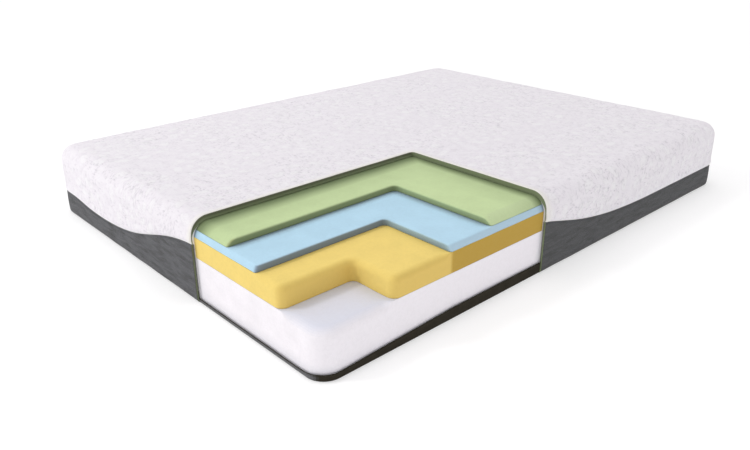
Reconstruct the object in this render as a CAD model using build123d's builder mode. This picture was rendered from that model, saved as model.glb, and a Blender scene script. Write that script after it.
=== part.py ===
"""Memory foam mattress, king size, made as a cutaway sample.

A glued core of four foam layers sits in a thin stretch sock and a zipped cover. The cover has a quilted
knit top that wraps down the sides to a wavy seam, a dark border below that seam and an anti-slip base.
The cover and then each foam layer are cut back in steps from one foot corner.

Frame: +X across the width, +Y towards the head end, +Z up. The origin is the middle of the resting face.
The foot end is the -Y face, and the cut corner is at +X, -Y. All sizes are in millimetres.
"""

import os

from build123d import *

# Overall size of the covered mattress
width = 1500.0
length = 2000.0
height = 250.0
corner_radius = 62.0  # upright corners
top_edge_radius = 55.0
bottom_edge_radius = 12.0

# Cloths, from the outside in
knit_thickness = 2.0
wadding_thickness = 5.0  # more where the zip needs the depth
backing_thickness = 1.5
sock_thickness = 1.5
border_thickness = 4.5
border_hem = 2.0  # the border where the base seam presses it flat
base_wall_thickness = 2.0
base_floor_thickness = 2.5
base_upstand = 36.0  # height of the base cloth behind the border
base_upstand_gap = 2.0  # between the base cloth and the zip's lower tape
base_upstand_trimmed = 13.0  # left standing along the cut part of the foot end
base_trim_at_corner = 20.0  # the trimmed upstand at the cut corner, from where it rises along the side
base_trim_rise = 390.0  # how far along the side it takes to reach full height

# Foam layers, from the top down; the support layer takes what is left of the height
comfort_thickness = 20.0
cooling_thickness = 20.0
transition_thickness = 62.0

# Cutaway: how far each cut reaches from the +X, -Y corner, along X and along Y
cover_cut = (550.0, 850.0)
comfort_cut = (393.0, 616.0)
cooling_cut = (258.0, 445.0)
transition_cut = (158.0, 240.0)
cover_cut_radius = 14.0
foam_cut_radius = 8.0
binding_thickness = 1.5  # tape that closes the cover's cut edges
binding_gap = 2.0  # between its full-depth stretch and the base cloth below
least_arc = 2.0  # what a corner keeps beyond the fillet of the edge above it

# Wavy seam between top and border: heights, and where each wave starts and ends from a face's middle
seam_low = 84.0
seam_dip = 69.0
seam_high = 182.0
end_wave_low = -430.0
end_wave_high = 258.0
end_wave_grip = (362.0, 281.0)  # reach of the curve's handles at its low and its high end
side_wave_low = 500.0
side_wave_high = -292.0
side_wave_grip = (535.0, 243.0)

# Zip in the head end
zip_below_seam = 5.0  # from the seam's lowest point to the upper tape
zip_corner_gap = 30.0  # from the upright corner's arc to the end of the teeth
zip_slot_gap = 1.0  # slider to each edge of the slot in the border
zip_slot_spare = 6.0  # slot beyond each end of the teeth
zip_sock_gap = 0.4  # slider to sock
tape_width = 13.0
tape_thickness = 1.0
tape_overrun = 14.0
coil_width = 2.5  # one row
coil_thickness = 2.6
coil_gap = 1.2  # between the closed rows
stop_length = 3.0
slider_length = 15.0
slider_plate = 1.3
slider_clearance = 0.5  # slider to coil, and slider to stop
slider_side_gap = 1.1  # from a row's back to the slider's lip
slider_lip = 1.3
divider_thickness = 0.6
divider_length = 3.0
bail_radius = 0.8
bail_span = 9.0
bail_post = 1.6
bail_stand_off = 1.1  # middle of the bail bar, out from the mattress face
pull_eye_clearance = 0.35
pull_eye_wall = 1.0
pull_eye_width = 5.0
pull_thickness = 1.4
pull_width = 7.0
pull_length = 30.0
pull_gap = 0.4  # pull to border when it hangs

# Places that follow from the sizes
margin = 20.0  # how far cutting tools run past the mattress
wall_zone = corner_radius  # how deep the seam's cutting walls reach in from each face
coil_middle = border_thickness + tape_thickness / 2  # depth of the teeth below the head face
slider_cavity = coil_thickness / 2 + slider_clearance  # from the teeth's mid-depth to each plate
plate_out = slider_cavity + slider_plate
quilt_depth = max(
    knit_thickness + wadding_thickness + backing_thickness, coil_middle + plate_out + zip_sock_gap
)
edge_radius = min(top_edge_radius, corner_radius - least_arc)
core_inset = quilt_depth + sock_thickness
core_floor = base_floor_thickness + sock_thickness
core_top = height - core_inset
comfort_bottom = core_top - comfort_thickness
cooling_bottom = comfort_bottom - cooling_thickness
transition_bottom = cooling_bottom - transition_thickness
base_outer_radius = bottom_edge_radius - border_thickness + border_hem
base_inner_radius = base_outer_radius - base_wall_thickness
head = length / 2
zip_half = width / 2 - corner_radius - zip_corner_gap
row_offset = (coil_gap + coil_width) / 2
tape_offset = coil_gap / 2 + coil_width + tape_width / 2
zip_height = seam_dip - zip_below_seam - tape_offset - tape_width / 2
slider_width = coil_gap + 2 * (coil_width + slider_side_gap + slider_lip)
slider_x = zip_half - slider_clearance - slider_length / 2
pull_eye_radius = bail_radius + pull_eye_clearance + pull_eye_wall

os.makedirs("parts", exist_ok=True)


def finish(builder, name):
    """Labels a piece and writes its STEP file."""
    builder.part.label = name
    export_step(builder.part, f"parts/{name}.step")
    print(f"{name}: {len(builder.part.solids())} solid, {builder.part.volume / 1000:.2f} cm3")


# ---------------------------------------------------------------------------- shared shapes


def rounded_block(inset, floor, floor_radius):
    """The mattress shape, drawn in by inset on the sides and top, standing at height floor."""
    with BuildPart() as block:
        with BuildSketch(Plane.XY.offset(floor)):
            RectangleRounded(width - 2 * inset, length - 2 * inset, corner_radius - inset)
        extrude(amount=height - inset - floor)
        fillet(block.faces().sort_by(Axis.Z)[-1].edges(), edge_radius - inset)
        fillet(block.faces().sort_by(Axis.Z)[0].edges(), floor_radius)
    return block.part


def corner_prism(reach, bottom, top, inner_radius):
    """An upright prism over the +X, -Y corner, reaching so far along X and Y, with a round inner edge."""
    size_x, size_y = reach[0] + margin, reach[1] + margin
    middle_x, middle_y = (width - size_x) / 2 + margin, (size_y - length) / 2 - margin
    with BuildPart() as prism:
        with BuildSketch(Plane.XY.offset(bottom)):
            with Locations((middle_x, middle_y)):
                Rectangle(size_x, size_y)
        extrude(amount=top - bottom)
        inner_edge = prism.edges().filter_by(Axis.Z).sort_by(Axis.Y)[-2:].sort_by(Axis.X)[0]
        fillet(inner_edge, inner_radius)
    return prism.part


def wave(low_place, low_height, high_place, grip):
    """The seam's rise from its low to its high level, level at both ends."""
    towards = 1 if high_place > low_place else -1
    return Bezier(
        (low_place, low_height),
        (low_place + towards * grip[0], low_height),
        (high_place - towards * grip[1], seam_high),
        (high_place, seam_high),
    )


outer_block = rounded_block(0, 0, bottom_edge_radius)
border_inside = rounded_block(border_thickness, 0, base_outer_radius)
knit_inside = rounded_block(knit_thickness, 0, bottom_edge_radius)
wadding_inside = rounded_block(quilt_depth - backing_thickness, 0, bottom_edge_radius)
quilt_inside = rounded_block(quilt_depth, 0, bottom_edge_radius)
sock_block = rounded_block(quilt_depth, base_floor_thickness, base_inner_radius)
core_block = rounded_block(core_inset, core_floor, base_inner_radius - sock_thickness)
cover_opening = corner_prism(cover_cut, -margin, height + margin, cover_cut_radius)

# Solid walls under the seam line of the foot end and of the +X side
with BuildPart() as end_wall:
    low_corner = -width / 2 + corner_radius
    dip_grip = (end_wave_low - low_corner) / 2
    with BuildSketch(Plane.XZ.offset(length / 2 - wall_zone)):
        with BuildLine():
            Polyline((-width / 2 - margin, seam_low), (low_corner, seam_low))
            Bezier(
                (low_corner, seam_low),
                (low_corner + dip_grip, seam_low),
                (end_wave_low - dip_grip, seam_dip),
                (end_wave_low, seam_dip),
            )
            wave(end_wave_low, seam_dip, end_wave_high, end_wave_grip)
            Polyline(
                (end_wave_high, seam_high),
                (width / 2 + margin, seam_high),
                (width / 2 + margin, -margin),
                (-width / 2 - margin, -margin),
                (-width / 2 - margin, seam_low),
            )
        make_face()
    extrude(amount=wall_zone + margin)

with BuildPart() as side_wall:
    with BuildSketch(Plane.YZ.offset(width / 2 - wall_zone)):
        with BuildLine():
            wave(side_wave_low, seam_low, side_wave_high, side_wave_grip)
            Polyline(
                (side_wave_high, seam_high),
                (-length / 2 - margin, seam_high),
                (-length / 2 - margin, -margin),
                (length / 2 + margin, -margin),
                (length / 2 + margin, seam_low),
                (side_wave_low, seam_low),
            )
        make_face()
    extrude(amount=wall_zone + margin)

# The seam is the same after half a turn about the upright axis
with BuildPart() as below_seam:
    add(end_wall.part)
    add(side_wall.part)
    add(end_wall.part.rotate(Axis.Z, 180))
    add(side_wall.part.rotate(Axis.Z, 180))


# ---------------------------------------------------------------------------- foam core


def foam_layer(name, bottom, top, cut=None):
    """A slice of the core block between two heights, with its cut corner taken out."""
    with BuildPart() as layer:
        add(core_block)
        with BuildSketch(Plane.XY.offset(bottom)):
            Rectangle(width, length)
        extrude(amount=top - bottom, mode=Mode.INTERSECT)
        if cut:
            add(corner_prism(cut, bottom - margin, top + margin, foam_cut_radius), mode=Mode.SUBTRACT)
    finish(layer, name)


foam_layer("foam_support_base", core_floor, transition_bottom)
foam_layer("foam_transition_layer", transition_bottom, cooling_bottom, transition_cut)
foam_layer("foam_cooling_layer", cooling_bottom, comfort_bottom, cooling_cut)
foam_layer("foam_comfort_layer", comfort_bottom, core_top, comfort_cut)

with BuildPart() as core_sock:
    add(sock_block)
    add(core_block, mode=Mode.SUBTRACT)
    add(corner_prism(cover_cut, core_floor, height + margin, cover_cut_radius), mode=Mode.SUBTRACT)
finish(core_sock, "core_sock")


# ---------------------------------------------------------------------------- quilted top


def quilt_ply(name, outside, inside):
    """One ply of the quilted top: a shell that ends at the wavy seam and at the cutaway."""
    with BuildPart() as ply:
        add(outside)
        add(inside, mode=Mode.SUBTRACT)
        add(below_seam.part, mode=Mode.SUBTRACT)
        add(cover_opening, mode=Mode.SUBTRACT)
    finish(ply, name)


quilt_ply("top_knit_face", outer_block, knit_inside)
quilt_ply("top_quilt_wadding", knit_inside, wadding_inside)
quilt_ply("top_quilt_backing", wadding_inside, quilt_inside)


# ---------------------------------------------------------------------------- border and base

with BuildPart() as border_ring:
    add(outer_block)
    add(border_inside, mode=Mode.SUBTRACT)
    add(below_seam.part, mode=Mode.INTERSECT)

# Wedges of the plan that end at the mitre lines through the corners
mitre = corner_radius + margin
with BuildPart() as end_zone:
    with BuildSketch():
        with BuildLine():
            Polyline(
                (-width / 2 - margin, -length / 2 - margin),
                (width / 2 + margin, -length / 2 - margin),
                (width / 2 - mitre, -length / 2 + mitre),
                (-width / 2 + mitre, -length / 2 + mitre),
                close=True,
            )
        make_face()
    extrude(amount=height)

with BuildPart() as side_zone:
    with BuildSketch():
        with BuildLine():
            Polyline(
                (width / 2 + margin, -length / 2 - margin),
                (width / 2 + margin, length / 2 + margin),
                (width / 2 - mitre, length / 2 - mitre),
                (width / 2 - mitre, -length / 2 + mitre),
                close=True,
            )
        make_face()
    extrude(amount=height)

with BuildPart() as border_foot:
    add(border_ring.part)
    add(end_zone.part, mode=Mode.INTERSECT)
    add(cover_opening, mode=Mode.SUBTRACT)
finish(border_foot, "border_foot_end")

with BuildPart() as border_right:
    add(border_ring.part)
    add(side_zone.part, mode=Mode.INTERSECT)
    add(cover_opening, mode=Mode.SUBTRACT)
finish(border_right, "border_right_side")

with BuildPart() as border_left:
    add(border_ring.part)
    add(side_zone.part.rotate(Axis.Z, 180), mode=Mode.INTERSECT)
finish(border_left, "border_left_side")

with BuildPart() as border_head:
    add(border_ring.part)
    add(end_zone.part.rotate(Axis.Z, 180), mode=Mode.INTERSECT)
    with BuildSketch(Plane.XZ.offset(-head - margin)):
        with Locations((0, zip_height)):
            SlotOverall(2 * (zip_half + zip_slot_spare), slider_width + 2 * zip_slot_gap)
    extrude(amount=2 * margin, mode=Mode.SUBTRACT)
finish(border_head, "border_head_end")

with BuildPart() as base_panel:
    with BuildSketch():
        RectangleRounded(
            width - 2 * border_thickness, length - 2 * border_thickness, corner_radius - border_thickness
        )
    extrude(amount=base_upstand)
    fillet(base_panel.faces().sort_by(Axis.Z)[0].edges(), base_outer_radius)
    base_inset = border_thickness + base_wall_thickness
    add(rounded_block(base_inset, base_floor_thickness, base_inner_radius), mode=Mode.SUBTRACT)
    # Shorter wall behind the zip
    with BuildSketch(Plane.XZ.offset(-head - margin)):
        with Locations((0, zip_height - tape_offset - tape_width / 2 - base_upstand_gap)):
            Rectangle(2 * (zip_half + tape_overrun), base_upstand, align=(Align.CENTER, Align.MIN))
    extrude(amount=2 * margin, mode=Mode.SUBTRACT)
    # Trimmed wall along the cut foot end
    with BuildSketch(Plane.XZ.offset(length / 2 - margin)):
        with Locations((width / 2 - cover_cut[0], base_upstand_trimmed)):
            Rectangle(cover_cut[0] - corner_radius, base_upstand, align=(Align.MIN, Align.MIN))
    extrude(amount=2 * margin, mode=Mode.SUBTRACT)
    # Trim line that rises from the corner along the cut side
    with BuildSketch(Plane.YZ.offset(width / 2 - corner_radius)):
        with BuildLine():
            Polyline(
                (-length / 2 - margin, base_trim_at_corner),
                (-length / 2 + corner_radius, base_trim_at_corner),
                (-length / 2 + corner_radius + base_trim_rise, base_upstand),
                (-length / 2 + corner_radius + base_trim_rise, base_upstand + margin),
                (-length / 2 - margin, base_upstand + margin),
                close=True,
            )
        make_face()
    extrude(amount=corner_radius + margin, mode=Mode.SUBTRACT)
finish(base_panel, "base_panel")

# Tape over the cut edges: the border's own thickness all the way down, the whole cover above the base cloth
with BuildPart() as cut_rim:
    add(cover_opening)
    inner_reach = (cover_cut[0] - binding_thickness, cover_cut[1] - binding_thickness)
    rim_radius = cover_cut_radius - binding_thickness
    add(corner_prism(inner_reach, -margin, height + margin, rim_radius), mode=Mode.SUBTRACT)

with BuildPart() as cutaway_edge_binding:
    add(outer_block)
    add(core_block, mode=Mode.SUBTRACT)
    with BuildSketch():
        Rectangle(width, length)
    extrude(amount=base_upstand + binding_gap, mode=Mode.SUBTRACT)
    add(cut_rim.part, mode=Mode.INTERSECT)

with BuildPart() as border_rim:
    add(outer_block)
    add(border_inside, mode=Mode.SUBTRACT)
    add(cut_rim.part, mode=Mode.INTERSECT)

with cutaway_edge_binding:
    add(border_rim.part)
finish(cutaway_edge_binding, "cutaway_edge_binding")


# ---------------------------------------------------------------------------- zip


def zip_strip(name, middle_z, strip_width, thickness, half_length):
    """A straight strip of the zip, at the teeth's depth behind the head face."""
    with BuildPart() as strip:
        with BuildSketch(Plane.XZ.offset(-(head - coil_middle + thickness / 2))):
            with Locations((0, middle_z)):
                Rectangle(2 * half_length, strip_width)
        extrude(amount=thickness)
    finish(strip, name)


zip_strip("zip_tape_upper", zip_height + tape_offset, tape_width, tape_thickness, zip_half + tape_overrun)
zip_strip("zip_tape_lower", zip_height - tape_offset, tape_width, tape_thickness, zip_half + tape_overrun)
zip_strip("zip_coil_upper", zip_height + row_offset, coil_width, coil_thickness, zip_half)
zip_strip("zip_coil_lower", zip_height - row_offset, coil_width, coil_thickness, zip_half)

for stop_name, side in (("zip_stop_closed_end", 1), ("zip_stop_open_end", -1)):
    with BuildPart() as stop:
        with BuildSketch(Plane.XZ.offset(-(head - coil_middle + coil_thickness / 2))):
            with Locations((side * (zip_half + stop_length / 2), zip_height)):
                RectangleRounded(stop_length, 2 * coil_width + coil_gap, stop_length / 4)
        extrude(amount=coil_thickness)
    finish(stop, stop_name)

# The slider is drawn with x along the zip and y up the face, on planes stacked out through the zip
zip_origin = Vector(slider_x, head - coil_middle, zip_height)


def zip_plane(depth_outwards):
    """A plane parallel to the head face through the slider, depth_outwards from the teeth's middle."""
    return Plane(
        origin=zip_origin + Vector(0, depth_outwards, 0), x_dir=(-1, 0, 0), z_dir=(0, 1, 0)
    )


bail_out = coil_middle + bail_stand_off  # bail bar, out from the teeth's middle
with BuildPart() as zip_slider:
    for inner_face in (slider_cavity, -slider_cavity - slider_plate):
        with BuildSketch(zip_plane(inner_face)):
            RectangleRounded(slider_length, slider_width, slider_width / 4)
        extrude(amount=slider_plate)
    # Lips that turn in over the tapes, each side of the teeth
    lip_depth = slider_cavity - tape_thickness / 2 - slider_clearance
    for inner_face in (slider_cavity - lip_depth, -slider_cavity):
        with BuildSketch(zip_plane(inner_face)):
            with GridLocations(0, slider_width - slider_lip, 1, 2):
                Rectangle(slider_length - slider_width / 2, slider_lip)
        extrude(amount=lip_depth)
    # Divider that parts the two rows and joins the plates
    with BuildSketch(zip_plane(-slider_cavity)):
        with Locations((divider_length / 2 - slider_length / 2 + slider_plate, 0)):
            Rectangle(divider_length, divider_thickness)
    extrude(amount=2 * slider_cavity)
    # Bail: two posts and a round bar along the zip
    with BuildSketch(zip_plane(plate_out)):
        with GridLocations(bail_span + bail_post, 0, 2, 1):
            Rectangle(bail_post, 2 * bail_radius + slider_lip)
    extrude(amount=bail_out - plate_out + bail_radius)
    bar_start = Plane(
        origin=zip_origin + Vector(-bail_span / 2 - bail_post / 2, bail_out, 0), z_dir=(1, 0, 0)
    )
    with BuildSketch(bar_start):
        Circle(bail_radius)
    extrude(amount=bail_span + bail_post)
finish(zip_slider, "zip_slider")

# The pull hangs from the bail bar
with BuildPart() as zip_pull:
    eye_start = Plane(origin=zip_origin + Vector(-pull_eye_width / 2, bail_out, 0), z_dir=(1, 0, 0))
    tab_inner_face = coil_middle + pull_gap
    with BuildSketch(zip_plane(tab_inner_face)):
        with Locations((0, -pull_length / 2)):
            RectangleRounded(pull_width, pull_length, pull_width / 3)
        with Locations((0, -pull_length + pull_width / 2)):
            SlotOverall(pull_width / 2, pull_width / 4, mode=Mode.SUBTRACT)
        with Locations((0, 0)):
            Rectangle(pull_width, 2 * pull_eye_radius, mode=Mode.SUBTRACT)
        with Locations((0, -pull_eye_radius)):
            Rectangle(pull_eye_width, 2 * pull_eye_radius)
    extrude(amount=pull_thickness)
    with BuildSketch(eye_start):
        Circle(pull_eye_radius)
    extrude(amount=pull_eye_width)
    with BuildSketch(eye_start):
        Circle(bail_radius + pull_eye_clearance)
    extrude(amount=pull_eye_width, mode=Mode.SUBTRACT)
finish(zip_pull, "zip_pull")
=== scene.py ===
"""Looks for the cutaway foam mattress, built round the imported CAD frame.

Lengths are in metres. +X is the cut side, -Y the foot end and +Z up, as in the frame. The cover is made of
grids: stations go round the plan and rows go down the profile. The foam layers are rounded outlines with a
rounded top edge.
"""

import math

import bmesh
import bpy
import numpy as np
from mathutils import Matrix, Vector
from mathutils.geometry import delaunay_2d_cdt


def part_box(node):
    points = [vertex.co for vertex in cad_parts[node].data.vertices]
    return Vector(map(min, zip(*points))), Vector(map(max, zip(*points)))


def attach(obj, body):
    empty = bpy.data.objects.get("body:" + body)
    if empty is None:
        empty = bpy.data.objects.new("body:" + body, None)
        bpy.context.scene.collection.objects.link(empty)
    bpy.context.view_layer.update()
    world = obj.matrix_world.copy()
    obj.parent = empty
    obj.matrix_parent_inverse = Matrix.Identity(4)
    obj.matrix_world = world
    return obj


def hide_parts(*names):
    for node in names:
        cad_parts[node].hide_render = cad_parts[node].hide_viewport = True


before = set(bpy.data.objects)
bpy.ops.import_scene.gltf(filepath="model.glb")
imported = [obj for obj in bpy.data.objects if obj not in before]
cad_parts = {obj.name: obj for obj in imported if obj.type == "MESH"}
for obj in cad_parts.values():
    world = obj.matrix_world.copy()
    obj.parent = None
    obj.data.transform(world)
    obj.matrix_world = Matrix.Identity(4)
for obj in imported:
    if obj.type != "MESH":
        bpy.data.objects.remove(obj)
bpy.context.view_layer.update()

MM = 0.001

# ------------------------------------------------------------------ sizes

HALF_WIDTH, HALF_LENGTH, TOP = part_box("top_knit_face")[1]
rim_low, rim_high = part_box("cutaway_edge_binding")
CUT_X, CUT_Y = rim_low[0], rim_high[1]  # the cover is cut away where x is more and y is less
RIM_RADIUS = 14 * MM  # corner of the cutaway

CORNER = 62 * MM  # plan corners of the mattress
EDGE = 55 * MM  # rounded top edge
BOTTOM_EDGE = 12 * MM
AX, AY = HALF_WIDTH - CORNER, HALF_LENGTH - CORNER  # the plan's corner arcs turn about these

core_low, core_high = (np.array(corner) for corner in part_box("foam_support_base"))
CORE_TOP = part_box("foam_comfort_layer")[1][2]
CORE_REACH = CORNER - (HALF_WIDTH - core_high[0])  # radius of the core's plan corners
CORE_EDGE = EDGE - (TOP - CORE_TOP)  # rounded top edge of the foam core
INNER_ROUND = 16 * MM  # inner corners of the foam steps

COVER_PITCH = 8 * MM  # between the points of the cover's grids
COVER_DEPTH = TOP - CORE_TOP  # everything between the cover's top and the foam
BORDER_DEPTH = 4.5 * MM  # a border and the cloths behind it
BORDER_CLOTH = 1.6 * MM  # thickness of a border's outer cloth
TURN_UNDER = 10 * MM  # how far a border is turned under the mattress
LIP = 6.5 * MM  # the cover's cut edge stands this proud of its top
LIP_REACH = 22 * MM
LIP_ROLL = 5 * MM

ZIP_MIDDLE = (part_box("zip_tape_lower")[1][2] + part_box("zip_tape_upper")[0][2]) / 2
SLOT_HALF_HEIGHT = 6.5 * MM
SLOT_HALF_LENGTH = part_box("zip_tape_upper")[1][0] - 8 * MM

# ------------------------------------------------------------------ numbers


def smooth_step(x, low, high):
    """0 below low, 1 above high and an S-curve between."""
    t = np.clip((x - low) / (high - low), 0, 1)
    return t * t * (3 - 2 * t)


def hump(x, middle, width):
    """A smooth hump of height 1."""
    return np.exp(-(((x - middle) / width) ** 2))


def steps(start, end, pitch):
    """Even steps from start to end, both included."""
    return np.linspace(start, end, max(2, round(abs(end - start) / pitch) + 1))


def ripple(x, y, length, turn):
    """Gentle uneven waves, from -1 to 1, with crests across the direction turn."""
    along = x * math.cos(turn) + y * math.sin(turn)
    across = y * math.cos(turn) - x * math.sin(turn)
    return np.sin(2 * math.pi * along / length + 1.3 * np.sin(3 * across / length)) * np.cos(
        1.1 * across / length + 2 * turn
    )


# ------------------------------------------------------------------ meshes


def make_object(name, points, faces, look, slot, **attributes):
    """A smooth mesh object that rides with the mattress. Attributes hold one value for each point."""
    mesh = bpy.data.meshes.new(name)
    tidy = (tuple(dict.fromkeys(face)) for face in faces)
    mesh.from_pydata(np.asarray(points).tolist(), [], [face for face in tidy if len(face) > 2])
    mesh.materials.append(look)
    mesh.polygons.foreach_set("use_smooth", [True] * len(mesh.polygons))
    for key, values in attributes.items():
        values = np.asarray(values, float)
        if values.ndim == 1:
            mesh.attributes.new(key, "FLOAT", "POINT").data.foreach_set("value", values)
        else:
            mesh.attributes.new(key, "FLOAT_VECTOR", "POINT").data.foreach_set("vector", values.ravel())
    mesh.update()
    piece = bpy.data.objects.new(name, mesh)
    bpy.context.scene.collection.objects.link(piece)
    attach(piece, "mattress")
    return piece


def cad_points(node):
    """The points of a CAD node."""
    return np.array([vertex.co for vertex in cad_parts[node].data.vertices])


def numbered(places):
    """Point numbers for a table of places."""
    return np.arange(places.shape[0] * places.shape[1]).reshape(places.shape[:2])


def grid_faces(index, closed_rows=False, closed_columns=False):
    """Quads between neighbouring rows and columns of a table of point numbers."""
    if closed_rows:
        index = np.vstack([index, index[:1]])
    if closed_columns:
        index = np.hstack([index, index[:, :1]])
    a, b, c, d = index[:-1, :-1], index[1:, :-1], index[1:, 1:], index[:-1, 1:]
    return np.stack([a, b, c, d], -1).reshape(-1, 4)


def tube_faces(index):
    """Quads round a tube and its two ends, where each row of the table is one ring."""
    return grid_faces(index, closed_columns=True).tolist() + [index[0].tolist(), index[-1].tolist()]


def fix_normals(piece):
    """Turns all faces of a piece the same way, outwards."""
    mesh = bmesh.new()
    mesh.from_mesh(piece.data)
    bmesh.ops.recalc_face_normals(mesh, faces=mesh.faces)
    mesh.to_mesh(piece.data)
    mesh.free()


def thicken(piece, thickness):
    """Gives a skin a thickness, inwards."""
    modifier = piece.modifiers.new("thickness", "SOLIDIFY")
    modifier.thickness = thickness
    modifier.offset = -1
    graph = bpy.context.evaluated_depsgraph_get()
    mesh = bpy.data.meshes.new_from_object(piece.evaluated_get(graph))
    piece.modifiers.clear()
    piece.data = mesh


# ------------------------------------------------------------------ the mattress's outside


def around(x, y):
    """Distance round the outside, clockwise from the end of the foot's straight part at the cut corner."""
    base_x, base_y = np.clip(x, -AX, AX), np.clip(y, -AY, AY)
    turn = (-math.pi / 2 - np.arctan2(y - base_y, x - base_x)) % (2 * math.pi)
    turn = np.where(turn > 2 * math.pi - 1e-6, 0, turn)
    side = np.floor(turn / (math.pi / 2) + 0.5)
    travel = np.select(
        [side == 0, side == 1, side == 2, side == 3],
        [AX - base_x, 2 * AX + base_y + AY, 2 * AX + 2 * AY + base_x + AX, 4 * AX + 2 * AY + AY - base_y],
        4 * AX + 4 * AY + AX - base_x,
    )
    return travel + CORNER * turn


class Stations:
    """Places round the plan: a base on the inner rectangle and an outward direction."""

    def __init__(self, base, turn):
        self.base = np.array(base)
        self.turn = np.array(turn)  # clockwise from the foot's outward direction
        angle = -math.pi / 2 - self.turn
        self.out = np.stack([np.cos(angle), np.sin(angle)], -1)
        outside = self.base + CORNER * self.out
        self.distance = around(outside[:, 0], outside[:, 1])

    def between(self, low, high):
        """The stations from one distance to another, with the two ends moved there."""
        keep = (self.distance > low + 1 * MM) & (self.distance < high - 1 * MM)
        ends = [self.at(low), self.at(high)]
        base = np.vstack([ends[0][0], self.base[keep], ends[1][0]])
        return Stations(base, np.concatenate([[ends[0][1]], self.turn[keep], [ends[1][1]]]))

    def at(self, distance):
        """Base and turn at a distance round."""
        base = [np.interp(distance, self.distance, self.base[:, axis]) for axis in (0, 1)]
        return base, np.interp(distance, self.distance, self.turn)


def lines(half, stops, pitch):
    """Grid lines from -half to half that fall on each stop."""
    ends = [-half, *stops, half]
    runs = [steps(a, b, pitch)[:-1] for a, b in zip(ends[:-1], ends[1:])]
    return np.concatenate([*runs, [half]])


def cover_lines():
    """Grid lines of the cover's flat top, closer together by the cutaway."""
    near = np.array([0.8, 1.8, 3.2, 5, 8, 12, 17, 23]) * MM
    x = lines(AX, [CUT_X - 30 * MM], COVER_PITCH)
    x = x[(x <= CUT_X - 30 * MM) | (x > CUT_X + 5 * MM)]
    y = lines(AY, [CUT_Y + 30 * MM], COVER_PITCH)
    y = y[(y >= CUT_Y + 30 * MM - 1e-9) | (y < CUT_Y - 5 * MM)]
    x = np.sort(np.concatenate([x, CUT_X - near, [CUT_X]]))
    y = np.sort(np.concatenate([y, CUT_Y + near, [CUT_Y]]))
    return x, y


def station_loop(x, y, whole=False):
    """Stations clockwise from the cut on the foot face to the cut on the +X face, or all the way round."""
    arc = steps(0, math.pi / 2, COVER_PITCH / CORNER)[1:-1]
    foot_end, side_end = (AX, -AY) if whole else (CUT_X, CUT_Y)
    base, turn = [], []

    def side(points, side_turn, with_arc=True):
        base.extend(points)
        turn.extend([side_turn] * len(points))
        if with_arc:
            base.extend([points[-1]] * len(arc))
            turn.extend(side_turn + arc)

    side([(value, -AY) for value in x[::-1] if value <= foot_end + 1e-9], 0)
    side([(-AX, value) for value in y], math.pi / 2)
    side([(value, AY) for value in x], math.pi)
    side([(AX, value) for value in y[::-1] if value >= side_end - 1e-9], 3 * math.pi / 2, with_arc=whole)
    return Stations(base, turn)


def surface(depth):
    """Reach and height, and the outward direction as (reach, height), at a depth down the profile."""
    flat, arc = CORNER - EDGE, EDGE * math.pi / 2
    side = TOP - EDGE - BOTTOM_EDGE
    turn = np.clip((depth - flat) / EDGE, 0, math.pi / 2)
    low_turn = np.clip((depth - flat - arc - side) / BOTTOM_EDGE, 0, math.pi / 2)
    reach = np.minimum(depth, flat) + EDGE * np.sin(turn) - BOTTOM_EDGE * (1 - np.cos(low_turn))
    height = TOP - EDGE * (1 - np.cos(turn)) - np.clip(depth - flat - arc, 0, side)
    height = height - BOTTOM_EDGE * np.sin(low_turn)
    under = np.maximum(depth - flat - arc - side - BOTTOM_EDGE * math.pi / 2, 0)
    return reach - under, height, np.sin(turn) * np.cos(low_turn), np.cos(turn) - np.sin(low_turn)


DEPTH_AT_SIDE = CORNER - EDGE + EDGE * math.pi / 2  # depth where the side's straight part starts
FULL_DEPTH = DEPTH_AT_SIDE + TOP - EDGE - BOTTOM_EDGE + BOTTOM_EDGE * math.pi / 2


def depth_of(height):
    """Depth down the profile at a height on the side's straight part."""
    return DEPTH_AT_SIDE + TOP - EDGE - height


def place(stations, depth, offset):
    """Points at depths down the profile, moved out by offset, and their places on the unrolled cloth."""
    reach, height, out_reach, out_height = surface(depth)
    reach = reach + offset * out_reach
    height = height + offset * out_height
    flat = stations.base[:, None, :] + reach[..., None] * stations.out[:, None, :]
    points = np.concatenate([flat, height[..., None]], -1)
    cloth = stations.base[:, None, :] + depth[..., None] * stations.out[:, None, :]
    return points, np.concatenate([cloth, np.zeros_like(height)[..., None]], -1)


def read_edge(nodes, above):
    """An upper edge's height against the distance round, read from CAD nodes' points."""
    rows = []
    for node in nodes:
        points = cad_points(node)
        points = points[points[:, 2] > above]
        rows.append(np.stack([around(points[:, 0], points[:, 1]), points[:, 2]], -1))
    rows = np.concatenate(rows)
    rows = rows[rows[:, 0].argsort()]
    return rows[:, 0], rows[:, 1]


BORDERS = ("border_foot_end", "border_left_side", "border_head_end", "border_right_side")
seam_distance, seam_height = read_edge(BORDERS, 66 * MM)
grid_x, grid_y = cover_lines()
loop = station_loop(grid_x, grid_y)


def seam_at(distance):
    """Height of the seam between cover top and border."""
    return np.interp(distance, seam_distance, seam_height)


def from_cut(x, y):
    """Distance from the cutaway along the cover."""
    return np.maximum(CUT_X + RIM_RADIUS - x, y - CUT_Y + RIM_RADIUS) - RIM_RADIUS


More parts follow.
